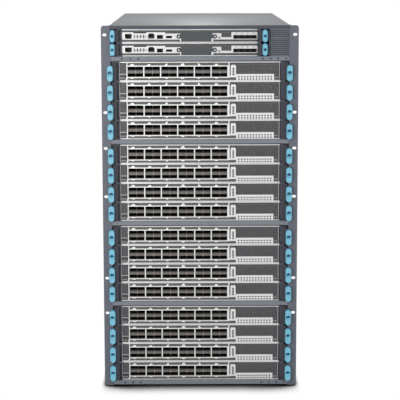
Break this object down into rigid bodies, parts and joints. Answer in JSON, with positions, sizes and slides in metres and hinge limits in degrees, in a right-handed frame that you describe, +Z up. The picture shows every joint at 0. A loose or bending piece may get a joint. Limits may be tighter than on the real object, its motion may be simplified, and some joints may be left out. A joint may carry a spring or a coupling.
{
  "type": "core router",
  "caption": "Rack-mounted modular core router with stacked line cards, fold-out levers with upright grips, control boards, rear fan trays and power supplies.",
  "frame": {"origin": "on the floor, in the middle of the area that the whole router takes up", "axes": "+X to the right seen from the front, +Y to the rear, +Z up"},
  "size_m": [0.4826, 0.8606, 0.905],
  "materials": {
    "housing_paint": "satin",
    "bar_paint": "satin",
    "dark_panel": "matte",
    "supply_case": "satin",
    "tray_steel": "satin",
    "card_steel": "satin",
    "grip_plastic": "satin"
  },
  "bodies": {
    "chassis": {"chassis_housing": "housing_paint", "cross_bars": "bar_paint", "status_panel": "dark_panel", "power_supplies": "supply_case"},
    "line_card_01": {"line_card_01": "card_steel"},
    "line_card_01_lever_left": {"line_card_01_lever_left": "grip_plastic"},
    "line_card_01_lever_right": {"line_card_01_lever_right": "grip_plastic"},
    "line_card_02": {"line_card_02": "card_steel"},
    "line_card_02_lever_left": {"line_card_02_lever_left": "grip_plastic"},
    "line_card_02_lever_right": {"line_card_02_lever_right": "grip_plastic"},
    "line_card_03": {"line_card_03": "card_steel"},
    "line_card_03_lever_left": {"line_card_03_lever_left": "grip_plastic"},
    "line_card_03_lever_right": {"line_card_03_lever_right": "grip_plastic"},
    "line_card_04": {"line_card_04": "card_steel"},
    "line_card_04_lever_left": {"line_card_04_lever_left": "grip_plastic"},
    "line_card_04_lever_right": {"line_card_04_lever_right": "grip_plastic"},
    "line_card_05": {"line_card_05": "card_steel"},
    "line_card_05_lever_left": {"line_card_05_lever_left": "grip_plastic"},
    "line_card_05_lever_right": {"line_card_05_lever_right": "grip_plastic"},
    "line_card_06": {"line_card_06": "card_steel"},
    "line_card_06_lever_left": {"line_card_06_lever_left": "grip_plastic"},
    "line_card_06_lever_right": {"line_card_06_lever_right": "grip_plastic"},
    "line_card_07": {"line_card_07": "card_steel"},
    "line_card_07_lever_left": {"line_card_07_lever_left": "grip_plastic"},
    "line_card_07_lever_right": {"line_card_07_lever_right": "grip_plastic"},
    "line_card_08": {"line_card_08": "card_steel"},
    "line_card_08_lever_left": {"line_card_08_lever_left": "grip_plastic"},
    "line_card_08_lever_right": {"line_card_08_lever_right": "grip_plastic"},
    "line_card_09": {"line_card_09": "card_steel"},
    "line_card_09_lever_left": {"line_card_09_lever_left": "grip_plastic"},
    "line_card_09_lever_right": {"line_card_09_lever_right": "grip_plastic"},
    "line_card_10": {"line_card_10": "card_steel"},
    "line_card_10_lever_left": {"line_card_10_lever_left": "grip_plastic"},
    "line_card_10_lever_right": {"line_card_10_lever_right": "grip_plastic"},
    "line_card_11": {"line_card_11": "card_steel"},
    "line_card_11_lever_left": {"line_card_11_lever_left": "grip_plastic"},
    "line_card_11_lever_right": {"line_card_11_lever_right": "grip_plastic"},
    "line_card_12": {"line_card_12": "card_steel"},
    "line_card_12_lever_left": {"line_card_12_lever_left": "grip_plastic"},
    "line_card_12_lever_right": {"line_card_12_lever_right": "grip_plastic"},
    "line_card_13": {"line_card_13": "card_steel"},
    "line_card_13_lever_left": {"line_card_13_lever_left": "grip_plastic"},
    "line_card_13_lever_right": {"line_card_13_lever_right": "grip_plastic"},
    "line_card_14": {"line_card_14": "card_steel"},
    "line_card_14_lever_left": {"line_card_14_lever_left": "grip_plastic"},
    "line_card_14_lever_right": {"line_card_14_lever_right": "grip_plastic"},
    "line_card_15": {"line_card_15": "card_steel"},
    "line_card_15_lever_left": {"line_card_15_lever_left": "grip_plastic"},
    "line_card_15_lever_right": {"line_card_15_lever_right": "grip_plastic"},
    "line_card_16": {"line_card_16": "card_steel"},
    "line_card_16_lever_left": {"line_card_16_lever_left": "grip_plastic"},
    "line_card_16_lever_right": {"line_card_16_lever_right": "grip_plastic"},
    "control_board_1": {"control_board_1": "card_steel"},
    "control_board_1_lever_left": {"control_board_1_lever_left": "grip_plastic"},
    "control_board_1_lever_right": {"control_board_1_lever_right": "grip_plastic"},
    "control_board_2": {"control_board_2": "card_steel"},
    "control_board_2_lever_left": {"control_board_2_lever_left": "grip_plastic"},
    "control_board_2_lever_right": {"control_board_2_lever_right": "grip_plastic"},
    "fan_tray_left": {"fan_tray_left": "tray_steel"},
    "fan_tray_right": {"fan_tray_right": "tray_steel"}
  },
  "joints": [
    {"name": "line_card_01_slide", "type": "slide", "parent": "chassis", "child": "line_card_01", "axis": [0, -1, 0], "range_m": [0, 0.4]},
    {"name": "line_card_01_lever_left_hinge", "type": "hinge", "parent": "line_card_01", "child": "line_card_01_lever_left", "pos_m": [-0.206, -0.4203, 0.7929], "axis": [0, 0, 1], "range_deg": [0, 80]},
    {"name": "line_card_01_lever_right_hinge", "type": "hinge", "parent": "line_card_01", "child": "line_card_01_lever_right", "pos_m": [0.206, -0.4203, 0.7929], "axis": [0, 0, -1], "range_deg": [0, 80]},
    {"name": "line_card_02_slide", "type": "slide", "parent": "chassis", "child": "line_card_02", "axis": [0, -1, 0], "range_m": [0, 0.4]},
    {"name": "line_card_02_lever_left_hinge", "type": "hinge", "parent": "line_card_02", "child": "line_card_02_lever_left", "pos_m": [-0.206, -0.4203, 0.7451], "axis": [0, 0, 1], "range_deg": [0, 80]},
    {"name": "line_card_02_lever_right_hinge", "type": "hinge", "parent": "line_card_02", "child": "line_card_02_lever_right", "pos_m": [0.206, -0.4203, 0.7451], "axis": [0, 0, -1], "range_deg": [0, 80]},
    {"name": "line_card_03_slide", "type": "slide", "parent": "chassis", "child": "line_card_03", "axis": [0, -1, 0], "range_m": [0, 0.4]},
    {"name": "line_card_03_lever_left_hinge", "type": "hinge", "parent": "line_card_03", "child": "line_card_03_lever_left", "pos_m": [-0.206, -0.4203, 0.6973], "axis": [0, 0, 1], "range_deg": [0, 80]},
    {"name": "line_card_03_lever_right_hinge", "type": "hinge", "parent": "line_card_03", "child": "line_card_03_lever_right", "pos_m": [0.206, -0.4203, 0.6973], "axis": [0, 0, -1], "range_deg": [0, 80]},
    {"name": "line_card_04_slide", "type": "slide", "parent": "chassis", "child": "line_card_04", "axis": [0, -1, 0], "range_m": [0, 0.4]},
    {"name": "line_card_04_lever_left_hinge", "type": "hinge", "parent": "line_card_04", "child": "line_card_04_lever_left", "pos_m": [-0.206, -0.4203, 0.6495], "axis": [0, 0, 1], "range_deg": [0, 80]},
    {"name": "line_card_04_lever_right_hinge", "type": "hinge", "parent": "line_card_04", "child": "line_card_04_lever_right", "pos_m": [0.206, -0.4203, 0.6495], "axis": [0, 0, -1], "range_deg": [0, 80]},
    {"name": "line_card_05_slide", "type": "slide", "parent": "chassis", "child": "line_card_05", "axis": [0, -1, 0], "range_m": [0, 0.4]},
    {"name": "line_card_05_lever_left_hinge", "type": "hinge", "parent": "line_card_05", "child": "line_card_05_lever_left", "pos_m": [-0.206, -0.4203, 0.5887], "axis": [0, 0, 1], "range_deg": [0, 80]},
    {"name": "line_card_05_lever_right_hinge", "type": "hinge", "parent": "line_card_05", "child": "line_card_05_lever_right", "pos_m": [0.206, -0.4203, 0.5887], "axis": [0, 0, -1], "range_deg": [0, 80]},
    {"name": "line_card_06_slide", "type": "slide", "parent": "chassis", "child": "line_card_06", "axis": [0, -1, 0], "range_m": [0, 0.4]},
    {"name": "line_card_06_lever_left_hinge", "type": "hinge", "parent": "line_card_06", "child": "line_card_06_lever_left", "pos_m": [-0.206, -0.4203, 0.5409], "axis": [0, 0, 1], "range_deg": [0, 80]},
    {"name": "line_card_06_lever_right_hinge", "type": "hinge", "parent": "line_card_06", "child": "line_card_06_lever_right", "pos_m": [0.206, -0.4203, 0.5409], "axis": [0, 0, -1], "range_deg": [0, 80]},
    {"name": "line_card_07_slide", "type": "slide", "parent": "chassis", "child": "line_card_07", "axis": [0, -1, 0], "range_m": [0, 0.4]},
    {"name": "line_card_07_lever_left_hinge", "type": "hinge", "parent": "line_card_07", "child": "line_card_07_lever_left", "pos_m": [-0.206, -0.4203, 0.4931], "axis": [0, 0, 1], "range_deg": [0, 80]},
    {"name": "line_card_07_lever_right_hinge", "type": "hinge", "parent": "line_card_07", "child": "line_card_07_lever_right", "pos_m": [0.206, -0.4203, 0.4931], "axis": [0, 0, -1], "range_deg": [0, 80]},
    {"name": "line_card_08_slide", "type": "slide", "parent": "chassis", "child": "line_card_08", "axis": [0, -1, 0], "range_m": [0, 0.4]},
    {"name": "line_card_08_lever_left_hinge", "type": "hinge", "parent": "line_card_08", "child": "line_card_08_lever_left", "pos_m": [-0.206, -0.4203, 0.4453], "axis": [0, 0, 1], "range_deg": [0, 80]},
    {"name": "line_card_08_lever_right_hinge", "type": "hinge", "parent": "line_card_08", "child": "line_card_08_lever_right", "pos_m": [0.206, -0.4203, 0.4453], "axis": [0, 0, -1], "range_deg": [0, 80]},
    {"name": "line_card_09_slide", "type": "slide", "parent": "chassis", "child": "line_card_09", "axis": [0, -1, 0], "range_m": [0, 0.4]},
    {"name": "line_card_09_lever_left_hinge", "type": "hinge", "parent": "line_card_09", "child": "line_card_09_lever_left", "pos_m": [-0.206, -0.4203, 0.3845], "axis": [0, 0, 1], "range_deg": [0, 80]},
    {"name": "line_card_09_lever_right_hinge", "type": "hinge", "parent": "line_card_09", "child": "line_card_09_lever_right", "pos_m": [0.206, -0.4203, 0.3845], "axis": [0, 0, -1], "range_deg": [0, 80]},
    {"name": "line_card_10_slide", "type": "slide", "parent": "chassis", "child": "line_card_10", "axis": [0, -1, 0], "range_m": [0, 0.4]},
    {"name": "line_card_10_lever_left_hinge", "type": "hinge", "parent": "line_card_10", "child": "line_card_10_lever_left", "pos_m": [-0.206, -0.4203, 0.3367], "axis": [0, 0, 1], "range_deg": [0, 80]},
    {"name": "line_card_10_lever_right_hinge", "type": "hinge", "parent": "line_card_10", "child": "line_card_10_lever_right", "pos_m": [0.206, -0.4203, 0.3367], "axis": [0, 0, -1], "range_deg": [0, 80]},
    {"name": "line_card_11_slide", "type": "slide", "parent": "chassis", "child": "line_card_11", "axis": [0, -1, 0], "range_m": [0, 0.4]},
    {"name": "line_card_11_lever_left_hinge", "type": "hinge", "parent": "line_card_11", "child": "line_card_11_lever_left", "pos_m": [-0.206, -0.4203, 0.2889], "axis": [0, 0, 1], "range_deg": [0, 80]},
    {"name": "line_card_11_lever_right_hinge", "type": "hinge", "parent": "line_card_11", "child": "line_card_11_lever_right", "pos_m": [0.206, -0.4203, 0.2889], "axis": [0, 0, -1], "range_deg": [0, 80]},
    {"name": "line_card_12_slide", "type": "slide", "parent": "chassis", "child": "line_card_12", "axis": [0, -1, 0], "range_m": [0, 0.4]},
    {"name": "line_card_12_lever_left_hinge", "type": "hinge", "parent": "line_card_12", "child": "line_card_12_lever_left", "pos_m": [-0.206, -0.4203, 0.2411], "axis": [0, 0, 1], "range_deg": [0, 80]},
    {"name": "line_card_12_lever_right_hinge", "type": "hinge", "parent": "line_card_12", "child": "line_card_12_lever_right", "pos_m": [0.206, -0.4203, 0.2411], "axis": [0, 0, -1], "range_deg": [0, 80]},
    {"name": "line_card_13_slide", "type": "slide", "parent": "chassis", "child": "line_card_13", "axis": [0, -1, 0], "range_m": [0, 0.4]},
    {"name": "line_card_13_lever_left_hinge", "type": "hinge", "parent": "line_card_13", "child": "line_card_13_lever_left", "pos_m": [-0.206, -0.4203, 0.1803], "axis": [0, 0, 1], "range_deg": [0, 80]},
    {"name": "line_card_13_lever_right_hinge", "type": "hinge", "parent": "line_card_13", "child": "line_card_13_lever_right", "pos_m": [0.206, -0.4203, 0.1803], "axis": [0, 0, -1], "range_deg": [0, 80]},
    {"name": "line_card_14_slide", "type": "slide", "parent": "chassis", "child": "line_card_14", "axis": [0, -1, 0], "range_m": [0, 0.4]},
    {"name": "line_card_14_lever_left_hinge", "type": "hinge", "parent": "line_card_14", "child": "line_card_14_lever_left", "pos_m": [-0.206, -0.4203, 0.1325], "axis": [0, 0, 1], "range_deg": [0, 80]},
    {"name": "line_card_14_lever_right_hinge", "type": "hinge", "parent": "line_card_14", "child": "line_card_14_lever_right", "pos_m": [0.206, -0.4203, 0.1325], "axis": [0, 0, -1], "range_deg": [0, 80]},
    {"name": "line_card_15_slide", "type": "slide", "parent": "chassis", "child": "line_card_15", "axis": [0, -1, 0], "range_m": [0, 0.4]},
    {"name": "line_card_15_lever_left_hinge", "type": "hinge", "parent": "line_card_15", "child": "line_card_15_lever_left", "pos_m": [-0.206, -0.4203, 0.0847], "axis": [0, 0, 1], "range_deg": [0, 80]},
    {"name": "line_card_15_lever_right_hinge", "type": "hinge", "parent": "line_card_15", "child": "line_card_15_lever_right", "pos_m": [0.206, -0.4203, 0.0847], "axis": [0, 0, -1], "range_deg": [0, 80]},
    {"name": "line_card_16_slide", "type": "slide", "parent": "chassis", "child": "line_card_16", "axis": [0, -1, 0], "range_m": [0, 0.4]},
    {"name": "line_card_16_lever_left_hinge", "type": "hinge", "parent": "line_card_16", "child": "line_card_16_lever_left", "pos_m": [-0.206, -0.4203, 0.0369], "axis": [0, 0, 1], "range_deg": [0, 80]},
    {"name": "line_card_16_lever_right_hinge", "type": "hinge", "parent": "line_card_16", "child": "line_card_16_lever_right", "pos_m": [0.206, -0.4203, 0.0369], "axis": [0, 0, -1], "range_deg": [0, 80]},
    {"name": "control_board_1_slide", "type": "slide", "parent": "chassis", "child": "control_board_1", "axis": [0, -1, 0], "range_m": [0, 0.25]},
    {"name": "control_board_1_lever_left_hinge", "type": "hinge", "parent": "control_board_1", "child": "control_board_1_lever_left", "pos_m": [-0.2007, -0.4203, 0.87945], "axis": [0, 0, 1], "range_deg": [0, 80]},
    {"name": "control_board_1_lever_right_hinge", "type": "hinge", "parent": "control_board_1", "child": "control_board_1_lever_right", "pos_m": [0.1465, -0.4203, 0.87945], "axis": [0, 0, -1], "range_deg": [0, 80]},
    {"name": "control_board_2_slide", "type": "slide", "parent": "chassis", "child": "control_board_2", "axis": [0, -1, 0], "range_m": [0, 0.25]},
    {"name": "control_board_2_lever_left_hinge", "type": "hinge", "parent": "control_board_2", "child": "control_board_2_lever_left", "pos_m": [-0.2007, -0.4203, 0.84635], "axis": [0, 0, 1], "range_deg": [0, 80]},
    {"name": "control_board_2_lever_right_hinge", "type": "hinge", "parent": "control_board_2", "child": "control_board_2_lever_right", "pos_m": [0.1465, -0.4203, 0.84635], "axis": [0, 0, -1], "range_deg": [0, 80]},
    {"name": "fan_tray_left_slide", "type": "slide", "parent": "chassis", "child": "fan_tray_left", "axis": [0, 1, 0], "range_m": [0, 0.12]},
    {"name": "fan_tray_right_slide", "type": "slide", "parent": "chassis", "child": "fan_tray_right", "axis": [0, 1, 0], "range_m": [0, 0.12]}
  ]
}
